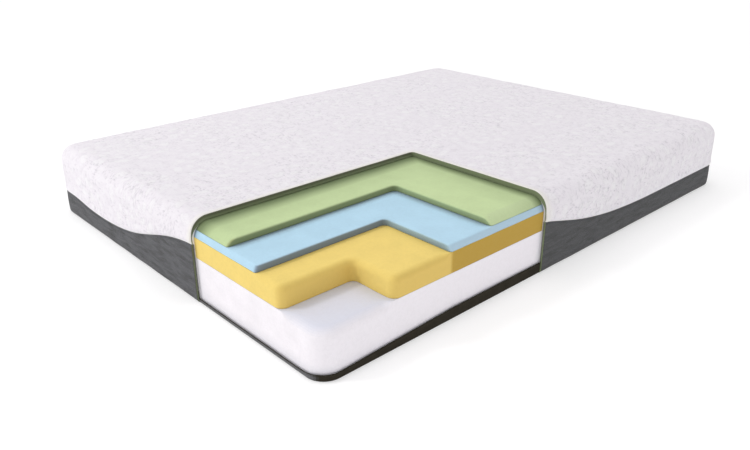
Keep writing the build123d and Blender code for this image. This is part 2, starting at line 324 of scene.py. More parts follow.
def round_the_cut(points):
    """Rounds the cutaway's inner corner, and eases the grid near it."""
    dx = CUT_X + RIM_RADIUS - points[:, 0]
    dy = points[:, 1] - CUT_Y + RIM_RADIUS
    square = np.maximum(dx, dy)
    length = np.hypot(dx, dy)
    inside = (dx > 0) & (dy > 0)
    ease = np.where(inside, 1 - smooth_step(square, RIM_RADIUS, 5 * RIM_RADIUS), 0)
    scale = 1 + ease * (square / np.maximum(length, 1e-9) - 1)
    points[:, 0] = CUT_X + RIM_RADIUS - dx * scale
    points[:, 1] = CUT_Y - RIM_RADIUS + dy * scale


def lip(distance, height=LIP):
    """How far the cover stands proud near its cut edge, where it rolls over."""
    proud = height * hump(distance, 0, LIP_REACH)
    into = np.clip(1 - distance / LIP_ROLL, 0, 1)
    return proud - LIP_ROLL * (1 - np.sqrt(1 - into**2))


SEAM_PUFF, SEAM_TUCK = 2.2, 3.4  # mm: the roll above the seam, and how deep the seam draws it in


def relief(x, y):
    """Slight unevenness of the stuffed top."""
    broad = ripple(x, y, 0.31, 0.4) + ripple(x, y, 0.23, 1.9)
    fine = ripple(x, y, 0.085, 2.4) + ripple(x, y, 0.11, 0.9)
    creased = smooth_step(-y, AY - 0.05, AY + 0.06) * hump(x, 0.02, 0.24)
    creases = ripple(x, y, 0.052, 0.75) * creased
    return (0.55 * broad + 0.22 * fine + 0.75 * creases) * MM


def cover_sides():
    """The cover top's rounded edges and sides, down to the seam.

    Gives the points, their places on the unrolled cloth and their distances from the cutaway."""
    by_seam = np.array([0, 1.5, 3.5, 6.5, 10.5, 15, 20, 26]) * MM
    seam_depth = depth_of(seam_at(loop.distance))
    lower = seam_depth[:, None] - by_seam[::-1][None, :]
    depth = np.hstack([lower[:, :1] * np.linspace(0, 1, 21)[None, :-1], lower])
    above = seam_depth[:, None] - depth
    places, cloth = place(loop, depth, 0)
    gap = from_cut(places[..., 0], places[..., 1])
    gap = np.repeat(gap[:, :1], depth.shape[1], axis=1)
    on_side = smooth_step(depth, 0.03, DEPTH_AT_SIDE)
    offset = lip(gap, LIP * (1 - 0.6 * on_side)) + relief(cloth[..., 0], cloth[..., 1])
    offset += (SEAM_PUFF * hump(above, 13 * MM, 8 * MM) - SEAM_TUCK * hump(above, 0, 3 * MM)) * MM
    places, cloth = place(loop, depth, np.maximum(offset, -4 * MM))
    return places, cloth, gap


def cover_flat():
    """The cover's flat top: its points, their places on the cloth and the grid of point numbers."""
    x, y = np.meshgrid(grid_x, grid_y, indexing="ij")
    keep = from_cut(x, y) > -1e-9
    number = np.full(x.shape, -1)
    number[keep] = np.arange(keep.sum())
    x, y = x[keep], y[keep]
    points = np.stack([x, y, TOP + lip(from_cut(x, y)) + relief(x, y)], -1)
    round_the_cut(points)
    return points, np.stack([x, y, np.zeros_like(x)], -1), number


def cover_top(look):
    """The knitted top of the cover: a flat grid, its rounded edges and its sides down to the seam."""
    flat, flat_cloth, number = cover_flat()
    sides, cloth, gap = cover_sides()

    # Row 0 of the sides is the flat top's outline
    ix = np.abs(loop.base[:, :1] - grid_x[None, :]).argmin(1)
    iy = np.abs(loop.base[:, 1:] - grid_y[None, :]).argmin(1)
    index = np.hstack([number[ix, iy][:, None], len(flat) + numbered(sides[:, 1:])])
    top_faces = grid_faces(number)
    top_faces = top_faces[(top_faces >= 0).all(1)]
    faces = np.vstack([top_faces, grid_faces(index)]).tolist()

    points = np.vstack([flat, sides[:, 1:].reshape(-1, 3)])
    cloths = np.vstack([flat_cloth, cloth[:, 1:].reshape(-1, 3)])
    gaps = np.concatenate([from_cut(flat_cloth[:, 0], flat_cloth[:, 1]), gap[:, 1:].ravel()])
    # Nearness to the cut edge: the knit's painted highlight and its puckers lie there
    rim = hump(gaps, 0, 20 * MM)
    piece = make_object("cover_top_knit", points, faces, look, "top_knit", cloth=cloths, rim=rim)
    fix_normals(piece)
    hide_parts("top_knit_face")


NEAR_SEAM = np.array([0, 1.2, 3, 6, 10]) * MM  # a border's first rows, below the seam
EVEN_ROWS = 10  # from there to the height of the zip's slot, and again below it


def border_depths(seam_depth):
    """Depths of a border's rows, two of which lie along the zip's slot."""
    slot_top, slot_bottom = (depth_of(ZIP_MIDDLE) + side * SLOT_HALF_HEIGHT for side in (-1, 1))
    even = np.linspace(0, 1, EVEN_ROWS + 1)
    start = seam_depth[:, None] + NEAR_SEAM[None, :]
    middle = start[:, -1:] + (slot_top - start[:, -1:]) * even[None, 1:]
    lower = slot_bottom + even * (FULL_DEPTH - slot_bottom)
    lower = np.concatenate([lower, [FULL_DEPTH + TURN_UNDER]])
    return np.hstack([start, middle, np.repeat(lower[None, :], len(start), 0)])


def border_fullness(distance, depth, seam_depth):
    """How far a border stands out: full in the middle, and drawn in at the seam and its two ends."""
    below = depth - seam_depth[:, None]
    share = np.clip(below / (FULL_DEPTH - seam_depth[:, None]), 0, 1)
    ends = np.minimum(distance - distance[0], distance[-1] - distance)
    offset = 1.6 * np.sin(np.pi * share) - 2.6 * hump(below, 0, 3.5 * MM)
    offset = offset - 1.1 * hump(ends, 0, 3 * MM)[:, None]
    offset = offset + 0.35 * ripple(distance[:, None], depth, 0.17, 0.5)
    return offset * MM * (depth < FULL_DEPTH)


def without_slot(faces, stations, rows):
    """A border's faces without those over the zip."""
    station, row = np.divmod(np.arange(len(faces)), rows - 1)
    middle_x = (stations.base[station, 0] + stations.base[station + 1, 0]) / 2
    slot_row = len(NEAR_SEAM) + EVEN_ROWS - 1
    return faces[~((row == slot_row) & (np.abs(middle_x) < SLOT_HALF_LENGTH))]


def border(node, look):
    """One woven border panel: tucked in at the seam, slightly full, and turned under at the bottom."""
    points = cad_points(node)
    distance = around(points[:, 0], points[:, 1])
    stations = loop.between(distance.min(), distance.max())
    distance = stations.distance
    seam_depth = depth_of(seam_at(distance))
    depth = border_depths(seam_depth)
    places, _ = place(stations, depth, border_fullness(distance, depth, seam_depth))
    faces = grid_faces(numbered(places))
    if node == "border_head_end":
        faces = without_slot(faces, stations, depth.shape[1])
    cloth = np.stack(np.broadcast_arrays(distance[:, None], depth, 0 * depth), -1).reshape(-1, 3)
    name = node.replace("border_", "border_cloth_")
    piece = make_object(name, places.reshape(-1, 3), faces.tolist(), look, "border_cloth", cloth=cloth)
    fix_normals(piece)
    thicken(piece, BORDER_CLOTH)
    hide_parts(node)
    width = distance[-1] - distance[0]
    drops = FULL_DEPTH - seam_depth + TURN_UNDER
    area = ((drops[1:] + drops[:-1]) / 2 * np.diff(distance)).sum()


FOOT_LIP = 13 * MM  # what is left standing of the base cloth along the cut part of the foot end
BASE_FOLD = 5 * MM  # radius of the fold between the base and its lip
# The hem's section, out from the lip and up from its height, in mm
HEM = [(0, -5), (0.7, -3.4), (0.9, -2), (0.3, -0.7), (-0.9, 0), (-2.1, -0.7), (-2.5, -2.4), (-2.1, -5)]


def base_lip(stations):
    """Height of the base cloth's lip: low along the cut part of the foot end, and rising at the corner."""
    raised = np.interp(stations.distance, *read_edge(["base_panel"], 19 * MM))
    x, y = stations.base[:, 0], stations.base[:, 1]
    on_cut_foot = (x > CUT_X - 1 * MM) & (y < 1 * MM - AY) & (stations.out[:, 0] < 0.01)
    trimmed = np.where(on_cut_foot, FOOT_LIP, raised)
    smooth = trimmed
    for _ in range(14):
        smooth = (np.roll(smooth, 1) + 2 * smooth + np.roll(smooth, -1)) / 4
    return trimmed + (smooth - trimmed) * smooth_step(x, CUT_X + 0.25, AX - 0.08)


def base_tray(look):
    """The dark base cloth, turned up round the foam, with a rolled hem along its lip."""
    reach = CORNER - (HALF_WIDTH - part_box("base_panel")[1][0])
    stations = station_loop(grid_x, grid_y, whole=True)
    lip_height = base_lip(stations)
    rows = []
    for turn in np.linspace(0, math.pi / 2, 5):
        inwards, up = BASE_FOLD * (1 - math.sin(turn)), BASE_FOLD * (1 - math.cos(turn))
        rows.append((reach - inwards, up + 0 * lip_height))
    rows += [(reach + out * MM, lip_height + up * MM) for out, up in HEM]
    rows.append((reach - 2 * MM, 3 * MM + 0 * lip_height))
    profile = np.stack([np.column_stack(np.broadcast_arrays(*row)) for row in rows], 1)
    flat = stations.base[:, None] + profile[..., :1] * stations.out[:, None]
    places = np.concatenate([flat, profile[..., 1:]], -1)
    index = numbered(places)
    faces = grid_faces(index, closed_rows=True).tolist()
    faces += [index[:, 0].tolist(), index[:, -1].tolist()]
    piece = make_object("base_cloth_tray", places.reshape(-1, 3), faces, look, "base_cloth")
    fix_normals(piece)
    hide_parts("base_panel")


# ------------------------------------------------------------------ the bound edge of the cutaway


SECTION_POWER = 0.55  # 1 makes the tape's section an ellipse, and less makes it squarer


def rim_path():
    """Points along the cutaway's edge, the outward direction there and the direction into the cutaway."""
    points, outs, ins = [], [], []
    foot = steps(FULL_DEPTH, CORNER - EDGE, 4 * MM)
    reach, height, out_reach, out_height = surface(foot)
    for r, z, nr, nz in zip(reach, height, out_reach, out_height):
        points.append((CUT_X, -AY - r, z))
        outs.append((0, -nr, nz))
        ins.append((1, 0, 0))
    flat_y = steps(-AY, CUT_Y - RIM_RADIUS, 8 * MM)
    points += [(CUT_X, y, TOP) for y in flat_y]
    arc = np.linspace(0, math.pi / 2, 9)[1:-1]
    turn_x, turn_y = CUT_X + RIM_RADIUS, CUT_Y - RIM_RADIUS
    points += [(turn_x - RIM_RADIUS * math.cos(a), turn_y + RIM_RADIUS * math.sin(a), TOP) for a in arc]
    flat_x = steps(turn_x, AX, 8 * MM)
    points += [(x, CUT_Y, TOP) for x in flat_x]
    ins += [(1, 0, 0)] * len(flat_y)
    ins += [(math.cos(a), -math.sin(a), 0) for a in arc]
    ins += [(0, -1, 0)] * len(flat_x)
    outs += [(0, 0, 1)] * (len(points) - len(outs))
    for r, z, nr, nz in reversed(list(zip(reach, height, out_reach, out_height))):
        points.append((AX + r, CUT_Y, z))
        outs.append((nr, 0, nz))
        ins.append((0, -1, 0))
    return np.array(points), np.array(outs), np.array(ins)


def binding_section(points):
    """How far out, and how far into the cutaway, the tape's outline lies at each point of its path."""
    top = smooth_step(points[:, 2], TOP - EDGE, TOP)
    seams = np.where(points[:, 0] > AX, seam_at(seam_distance[-1]), seam_at(seam_distance[0]))
    by_cover = points[:, 2] > seams
    deep = np.where(by_cover, 4 * MM + (COVER_DEPTH - 4 * MM) * top, BORDER_DEPTH) - 0.3 * MM
    proud = np.where(by_cover, LIP * (0.4 + 0.6 * top) - (0.8 - 0.6 * top) * LIP_ROLL, 0.8 * MM)
    thick = (1.2 + 1.2 * top[:, None]) * MM
    turns = np.linspace(0, 2 * math.pi, 15)[:-1]
    waves = np.sin(turns), np.cos(turns)
    across, along = (np.sign(wave) * np.abs(wave) ** SECTION_POWER for wave in waves)
    middle, half = (proud - deep) / 2, (proud + deep) / 2
    into = thick * (0.5 + 0.5 * across)[None, :] + 0.1 * MM
    return middle[:, None] + half[:, None] * along[None, :], into


def binding(look):
    """The dark tape that binds the cut edge, in front of the cover's cut face."""
    points, outs, ins = rim_path()
    out, into = binding_section(points)
    places = points[:, None] + out[..., None] * outs[:, None] + into[..., None] * ins[:, None]
    places[..., 2] = np.maximum(places[..., 2], 0)
    run = np.concatenate([[0], np.cumsum(np.linalg.norm(np.diff(points, axis=0), axis=1))])
    cloth = np.stack(np.broadcast_arrays(run[:, None], out, 0 * out), -1).reshape(-1, 3)
    faces = tube_faces(numbered(places))
    points = places.reshape(-1, 3)
    piece = make_object("cutaway_binding_tape", points, faces, look, "binding_tape", cloth=cloth)
    fix_normals(piece)
    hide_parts("cutaway_edge_binding")


# ------------------------------------------------------------------ foam

COVERED_ROUND = 0.6 * MM  # top edge of a layer where the layer above covers it
BOTTOM_ROUND = 1.5 * MM
LAST_CUT_CORNER = 3  # the outline's corner where a cut comes out on the +X side


def rounded_path(corners, pitch):
    """Points round a square-cornered outline, anticlockwise, with each (x, y, radius) corner rounded."""
    points, outs, runs = [], [], []
    count = len(corners)
    for k in range(count):
        before, here, after = (np.array(corners[(k + d) % count]) for d in (-1, 0, 1))
        u, v = here[:2] - before[:2], after[:2] - here[:2]
        u, v = u / np.linalg.norm(u), v / np.linalg.norm(v)
        radius = here[2]
        centre = here[:2] + radius * (v - u)
        arc = np.linspace(0, math.pi / 2, max(5, round(radius / (4 * MM)) + 1))
        for a in arc:
            points.append(centre + radius * (u * math.sin(a) - v * math.cos(a)))
            tangent = u * math.cos(a) + v * math.sin(a)
            outs.append((tangent[1], -tangent[0]))
            runs.append(k)
        leave, reach = here[:2] + radius * v, after[:2] - after[2] * v
        for t in np.linspace(0, 1, max(2, round(np.linalg.norm(reach - leave) / pitch) + 1))[1:-1]:
            points.append(leave + t * (reach - leave))
            outs.append((v[1], -v[0]))
            runs.append(k + 0.5)
    return np.array(points), np.array(outs), np.array(runs)


def notch_of(node):
    """Where a foam layer's cut corner turns: its x and y."""
    points = cad_points(node)
    low, high = points.min(0), points.max(0)
    return points[points[:, 1] < low[1] + 0.1, 0].max(), points[points[:, 0] > high[0] - 0.1, 1].min()


def draw_in(places):
    """Draws the outside of a foam layer in, to the core's rounded top edge."""
    base = np.clip(places[:, :2], (-AX, -AY), (AX, AY))
    rise = np.clip((places[:, 2] - (CORE_TOP - CORE_EDGE)) / CORE_EDGE, 0, 1)
    reach = CORE_REACH - CORE_EDGE * (1 - np.sqrt(1 - rise**2))
    places[:, :2] = base + (places[:, :2] - base) * (reach / CORE_REACH)[:, None]


def foam_outline(node, upright_round):
    """A layer's rounded outline: points, outward directions, runs, and which points lie on its cut."""
    outline = [(core_low[0], core_low[1], CORE_REACH)]
    cut_runs = []
    if node == "foam_support_base":
        outline.append((core_high[0], core_low[1], CORE_REACH))
    else:
        cut_x, cut_y = notch_of(node)
        outline += [
            (cut_x, core_low[1], upright_round),
            (cut_x, cut_y, INNER_ROUND),
            (core_high[0], cut_y, upright_round),
        ]
        cut_runs = [1, 1.5, 2, 2.5, LAST_CUT_CORNER]
    outline += [(core_high[0], core_high[1], CORE_REACH), (core_low[0], core_high[1], CORE_REACH)]
    points, outs, runs = rounded_path(outline, 12 * MM)
    return points, outs, runs, np.isin(runs, cut_runs)


def edge_radius(points, is_cut, top_round, exposed_round, exposed_from):
    """How round the top edge is at each point of the outline."""
    radius = np.where(is_cut, top_round, COVERED_ROUND)
    if exposed_from:
        bare = smooth_step(points[:, 0], exposed_from[0] - 4 * MM, exposed_from[0] + 26 * MM)
        bare *= smooth_step(-points[:, 1], -exposed_from[1] - 4 * MM, -exposed_from[1] + 26 * MM)
        radius = radius + (exposed_round - radius) * bare
    return radius


def foam_profile(radius, low, high, wall):
    """Inset and height of each row of a layer's side, from its lower edge up and over its upper edge."""
    foot = np.linspace(0, math.pi / 2, 4)[::-1]
    rise = high - radius - (low + BOTTOM_ROUND)
    rows = [(BOTTOM_ROUND * (1 - math.cos(a)), low + BOTTOM_ROUND * (1 - math.sin(a))) for a in foot]
    rows += [(0, low + BOTTOM_ROUND + t * rise) for t in wall]
    for turn in np.linspace(0, math.pi / 2, 9):
        rows.append((radius * (1 - math.cos(turn)), high - radius * (1 - math.sin(turn))))
    inset, height = (np.array([part + 0 * radius for part in parts]).T for parts in zip(*rows))
    return inset, height


def foam_tones(points, outs, runs, is_cut, bare_side):
    """How strongly each point of the outline takes painted side shading, by how far it faces +X, and
    whether it takes the step colour's painted shading instead, on a cut face or a bare side.
    """
    # Painted shading: faces towards +X take the side colour, and cut faces towards -Y a little of it
    tone = np.clip(outs[:, 0], 0, 1) + 0.12 * is_cut * np.clip(-outs[:, 1], 0, 1)
    # Cut faces, and a side left bare by the layer above, take the step colour: a separate painted shade,
    # lighter than the side's on the yellow foam
    lighter = is_cut & (runs != LAST_CUT_CORNER)
    if bare_side:
        lighter = lighter | (points[:, 1] < bare_side)
    return tone[:, None], lighter[:, None]


def foam(node, look, top_round, exposed_round=0, exposed_from=None, upright_round=9 * MM, bare_side=None):
    """A foam layer with soft edges. Its top edge is rounder where the layer above leaves it bare."""
    low, high = (corner[2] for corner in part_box(node))
    points, outs, runs, is_cut = foam_outline(node, upright_round)
    radius = edge_radius(points, is_cut, top_round, exposed_round, exposed_from)
    wall = np.linspace(0, 1, 10)[1:-1]
    if node == "foam_comfort_layer":
        wall = np.sin(wall * math.pi / 2)  # closer together where the core's edge is rounded
    inset, height = foam_profile(radius, low, high, wall)
    dip = 0.35 * MM * (1 + ripple(points[:, :1] + points[:, 1:], height, 0.13, 0.8))
    inset = inset + dip * (height < high - 0.1 * MM)
    flat = points[:, None] - inset[..., None] * outs[:, None]
    places = np.concatenate([flat, height[..., None]], -1)

    # The top is triangles over inner points that dip a little
    cap, cap_faces = fill_top(places[:, -1], high, 22 * MM)
    index = numbered(places)
    numbers = np.concatenate([index[:, -1], index.size + np.arange(len(cap))])
    faces = grid_faces(index, closed_rows=True).tolist()
    faces.append(index[:, 0][::-1].tolist())
    faces += numbers[np.array(cap_faces)].tolist()
    everywhere = np.vstack([places.reshape(-1, 3), cap])
    draw_in(everywhere)

    over_edge = np.clip((height - (high - radius[:, None])) / radius[:, None], 0, 1)
    upright = np.cos(over_edge * math.pi / 2)
    # Painted shading of the sides, faded out over the top edge
    tone, step = (
        np.concatenate([(share * upright).ravel(), np.zeros(len(cap))])
        for share in foam_tones(points, outs, runs, is_cut, bare_side)
    )
    name = node.replace("foam_", "foam_block_")
    slot = node.split("_")[1] + "_foam"  # such as comfort_foam for foam_comfort_layer
    piece = make_object(name, everywhere, faces, look, slot, tone=tone, step=step)
    fix_normals(piece)
    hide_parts(node)


def fill_top(ring, height, pitch):
    """Inner points and triangles that fill a ring. The ring's points are numbered first."""
    low, high = ring.min(0), ring.max(0)
    x, y = np.meshgrid(np.arange(low[0], high[0], pitch), np.arange(low[1], high[1], pitch))
    inner = np.stack([x.ravel(), y.ravel()], -1)
    gap = np.abs(inner[:, None, :] - ring[None, :, :2]).max(-1).min(1)
    keep = (gap > 0.6 * pitch) & inside(inner, ring[:, :2])
    inner, gap = inner[keep], gap[keep]
    plan = [Vector(p) for p in np.vstack([ring[:, :2], inner]).tolist()]
    edges = [(k, (k + 1) % len(ring)) for k in range(len(ring))]
    _, _, faces, origins, _, _ = delaunay_2d_cdt(plan, edges, [list(range(len(ring)))], 1, 1e-7)
    number = [group[0] for group in origins]
    dip = 0.3 * MM * (1 + ripple(inner[:, 0], inner[:, 1], 0.21, 1.1)) * smooth_step(gap, 0.01, 0.07)
    cap = np.column_stack([inner, height - dip])
    return cap, [[number[v] for v in face] for face in faces]


def inside(points, ring):
    """Which points lie inside a closed outline."""
    result = np.zeros(len(points), bool)
    for a, b in zip(ring, np.roll(ring, -1, axis=0)):
        crosses = (a[1] > points[:, 1]) != (b[1] > points[:, 1])
        if crosses.any():
            x = a[0] + (points[:, 1] - a[1]) / (b[1] - a[1] if b[1] != a[1] else 1) * (b[0] - a[0])
            result ^= crosses & (points[:, 0] < x)
    return result


# ------------------------------------------------------------------ zip


COIL_PITCH = 2 * MM
COIL_WIRE = 0.33 * MM  # radius of the filament
COIL_REACH = 0.55 * MM  # how far the heads reach past the zip's middle
COIL_STEPS, COIL_SIDES = 10, 5  # points round each turn, and round the filament


def coil(name, node, look, phase, towards):
    """A zip's coiled filament: flat loops whose heads reach past the zip's middle.

    phase is in half turns, and towards is 1 for heads that reach up and -1 for down."""
    low, high = (np.array(corner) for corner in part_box(node))
    turns = int((high[0] - low[0] - COIL_PITCH) / COIL_PITCH)
    t = np.arange(turns * COIL_STEPS + 1) / COIL_STEPS
    angle = 2 * math.pi * t
    low[2] -= COIL_REACH if towards < 0 else 0
    high[2] += COIL_REACH if towards > 0 else 0
    middle, half = (low + high) / 2, (high - low) / 2 - COIL_WIRE
    line = [
        low[0] + COIL_PITCH * (t + 0.5 * phase + 0.25),
        middle[1] + half[1] * np.sin(angle),
        middle[2] + half[2] * np.cos(angle),
    ]
    ring = np.linspace(0, 2 * math.pi, COIL_SIDES + 1)[:-1, None]
    radial = np.stack([0 * angle, np.sin(angle), np.cos(angle)], -1)[:, None]
    section = np.cos(ring) * radial + np.sin(ring) * np.array([1.0, 0, 0])
    places = np.stack(line, -1)[:, None] + COIL_WIRE * section
    piece = make_object(name, places.reshape(-1, 3), tube_faces(numbered(places)), look, "zip_coil")
    fix_normals(piece)
    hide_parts(node)


# ------------------------------------------------------------------ stitches


STITCH_PITCH, STITCH_LENGTH, THREAD = 5 * MM, 3.2 * MM, 0.45 * MM  # the thread's size is its radius


def stitches(centres, along, outs):
    """A row of short raised threads: their points and faces."""
    t = np.linspace(-1, 1, 5)
    ring = np.linspace(0, 2 * math.pi, 6)[:-1]
    width = THREAD * np.sqrt(np.clip(1 - t**2, 0.04, 1))
    across = np.cross(along, outs)
    spine = centres[:, None] + along[:, None] * (t * STITCH_LENGTH / 2)[None, :, None]
    spine = spine + outs[:, None] * (0.25 * THREAD * (1 - t**2))[None, :, None]
    bulk = np.cos(ring)[None, None, :, None] * outs[:, None, None]
    bulk = bulk + np.sin(ring)[None, None, :, None] * across[:, None, None]
    places = spine[:, :, None] + width[None, :, None, None] * bulk
    first = tube_faces(numbered(places[0]))
    size = len(t) * len(ring)
    faces = [[point + size * k for point in face] for k in range(len(centres)) for face in first]
    return places.reshape(-1, 3), faces


def seam_stitches(look):
    """Topstitching on the border, just below the seam."""
    distance = np.arange(loop.distance[0] + 6 * MM, loop.distance[-1] - 6 * MM, STITCH_PITCH)
    base = np.stack([np.interp(distance, loop.distance, loop.base[:, axis]) for axis in (0, 1)], -1)
    row = Stations(base, np.interp(distance, loop.distance, loop.turn))
    depth = depth_of(seam_at(distance)) + 5.5 * MM
    centres, _ = place(row, depth[:, None], np.full((len(depth), 1), 0.15 * MM))
    centres = centres[:, 0]
    along = np.gradient(centres, axis=0)
    along /= np.linalg.norm(along, axis=1)[:, None]
    outs = np.column_stack([row.out, np.zeros(len(row.out))])
    make_object("seam_topstitch", *stitches(centres, along, outs), look, "border_cloth")


# ------------------------------------------------------------------ node trees


def new_node(tree, kind, sockets, **settings):
    """A new shader node. Its sockets, by name or number, take fields, other sockets or plain values."""
    node = tree.nodes.new("ShaderNode" + kind)
    for key, value in settings.items():
        setattr(node, key, value)
    for key, value in sockets.items():
        if isinstance(value, Field):
            value = value.socket
        if isinstance(value, bpy.types.NodeSocket):
            tree.links.new(value, node.inputs[key])
        else:
            node.inputs[key].default_value = value
    return node


class Field:
    """A value that varies over a surface. Arithmetic on it adds nodes to its tree."""

    def __init__(self, tree, socket):
        self.tree, self.socket = tree, socket

    def call(self, operation, *others):
        """A Math node's result, with this value as its first input."""
        node = new_node(self.tree, "Math", dict(enumerate((self, *others))), operation=operation)
        return Field(self.tree, node.outputs[0])

    def __add__(self, other):
        return self.call("ADD", other)

    def __sub__(self, other):
        return self.call("SUBTRACT", other)

    def __mul__(self, other):
        return self.call("MULTIPLY", other)

    def snap(self, pitch):
        """The middle of the step that the value is in."""
        return ((self * (1 / pitch)).call("FLOOR") + 0.5) * pitch

    def ramp(self, low, high):
        """0 at low and 1 at high, in a straight line between, with low above high for a falling one."""
        return ((self - low) * (1 / (high - low))).call("MAXIMUM", 0.0).call("MINIMUM", 1.0)


class Look:
    """A material: one Principled shader and the fields that drive it."""

    def __init__(self, name, roughness, **values):
        self.material = bpy.data.materials.new(name)
        self.material.use_nodes = True
        self.tree = self.material.node_tree
        self.shader = self.tree.nodes["Principled BSDF"].inputs
        self.shader["Roughness"].default_value = roughness
        for key, value in values.items():
            self.shader[key.replace("_", " ")].default_value = value

    def read(self, kind, output, sockets=None, **settings):
        """One output of a new node."""
        return Field(self.tree, new_node(self.tree, kind, sockets or {}, **settings).outputs[output])

    def number(self, name):
        """A number that the piece's points carry."""
        return self.read("Attribute", "Fac", attribute_name=name)

    def split(self, vector):
        """A vector's x, y and z."""
        node = new_node(self.tree, "SeparateXYZ", {0: vector})
        return [Field(self.tree, output) for output in node.outputs]

    def cloth(self):
        """The two places on the unrolled cloth."""
        return self.split(self.read("Attribute", "Vector", attribute_name="cloth"))[:2]

    def place(self):
        """Where the shaded point is."""
        return self.read("TexCoord", "Object")

    def facing(self):
        """How far the surface faces along x, y and z."""
        return self.split(self.read("NewGeometry", "True Normal"))

    def crevice(self, reach):
        """0 in a crevice and 1 in the open."""
        return self.read("AmbientOcclusion", "AO", {"Distance": reach}, samples=6)

    def noise(self, scale, u=None, v=None, detail=2.0, distortion=0.0):
        """Soft noise about 0.5, over the object's place or over u and v."""
        vector = self.read("CombineXYZ", 0, {0: u, 1: v}) if u else self.place()
        sockets = {"Scale": scale, "Detail": detail, "Distortion": distortion, "Vector": vector}
        return self.read("TexNoise", "Fac", sockets)

    def cells(self, scale):
        """Distance from the middle of the nearest of many small cells."""
        return self.read("TexVoronoi", "Distance", {"Scale": scale, "Vector": self.place()})

    def strokes(self, u, v, length, width, patch):
        """Short strokes that lie along u in some patches and along v in others, from -1 to 1."""
        along = self.noise(1.0, u * (1 / length), v * (1 / width), 2.0, 0.5)
        across = self.noise(1.0, u * (1 / width), v * (1 / length), 2.0, 0.5)
        turn = self.noise(1 / patch, u, v, 1.0).ramp(0.44, 0.56)
        return (along * (turn * -1 + 1) + across * turn - 0.5) * 4.0

    def mix(self, share, first, second):
        """A colour between two, by a field. Each colour is three numbers or a field."""
        first, second = ((*c, 1) if isinstance(c, tuple) else c for c in (first, second))
        return self.read("Mix", 2, {"Factor": share, 6: first, 7: second}, data_type="RGBA")

    def finish(self, colour, bump, depth, roughness=None):
        """Feeds the shader: bump raises the surface by depth, in metres, where it is 1."""
        normal = self.read("Bump", "Normal", {"Distance": depth, "Height": bump})
        for key, field in (("Base Color", colour), ("Normal", normal), ("Roughness", roughness)):
            if field:
                self.tree.links.new(field.socket, self.shader[key])
        return self.material


def shades(colour, *factors):
    """Darker and lighter versions of a colour."""
    return [tuple(min(1.0, factor * c) for c in colour) for factor in factors]


MOTIF = 0.34  # repeat of the knitted pattern
FLOWER = 0.030  # mean radius of the ring at a motif's middle
SPRAY_FROM, SPRAY_TO = 0.046, 0.178  # the leaves round it


def damask(u, v):
    """The knitted pattern, 0 on the ground and 1 on a raised figure: rings of leaves round a flower."""
    u, v = (
        u + (v * 19.0).call("SINE") * 0.006 + (u * 31.0).call("SINE") * 0.004,
        v + (u * 17.0).call("SINE") * 0.007 + (v * 37.0).call("SINE") * 0.003,
    )
    column = (u * (1 / MOTIF)).call("FLOOR")
    odd = column * 0.5 - (column * 0.5).call("FLOOR")
    x = u - (column + 0.5) * MOTIF
    rows = v * (1 / MOTIF) + odd
    y = (rows - rows.call("FLOOR") - 0.5) * MOTIF
    r = (x * x + y * y + 1e-6).call("SQRT")
    turn = y.call("ARCTAN2", x)
    petals = (turn * 6.0).call("COSINE") * 0.006 + FLOWER
    ring = (r - petals).call("ABSOLUTE").ramp(0.0075, 0.0035)
    heart = r.ramp(0.012, 0.008)
    spiral = (r * (1 / FLOWER)).call("LOGARITHM", math.e)
    arms = (turn * 5.0 + spiral * 6.0).call("COSINE")
    barbs = (spiral * 11.0 - turn * 5.0).call("COSINE")
    leaves = (arms * barbs).ramp(0.12, 0.42)
    inside_spray = r.ramp(SPRAY_FROM - 0.006, SPRAY_FROM) * r.ramp(SPRAY_TO, SPRAY_TO - 0.02)
    return ring.call("MAXIMUM", heart).call("MAXIMUM", leaves * inside_spray)


def loops(u, v, pitch):
    """Knitted loops: ribs of slanted stitches."""
    wale = (u * (2 * math.pi / pitch)).call("SINE").call("ABSOLUTE")
    course = (v * (2 * math.pi / pitch) + wale * 1.6).call("SINE")
    return wale * 0.6 + course * 0.4


def weave(u, v, pitch):
    """Plain weave: threads that pass over and under."""
    warp = (u * (2 * math.pi / pitch)).call("SINE")
    weft = (v * (2 * math.pi / pitch)).call("SINE")
    return (warp * weft) * 0.5 + 0.5


# ------------------------------------------------------------------ materials


STITCH = 2.1 * MM  # one knitted loop


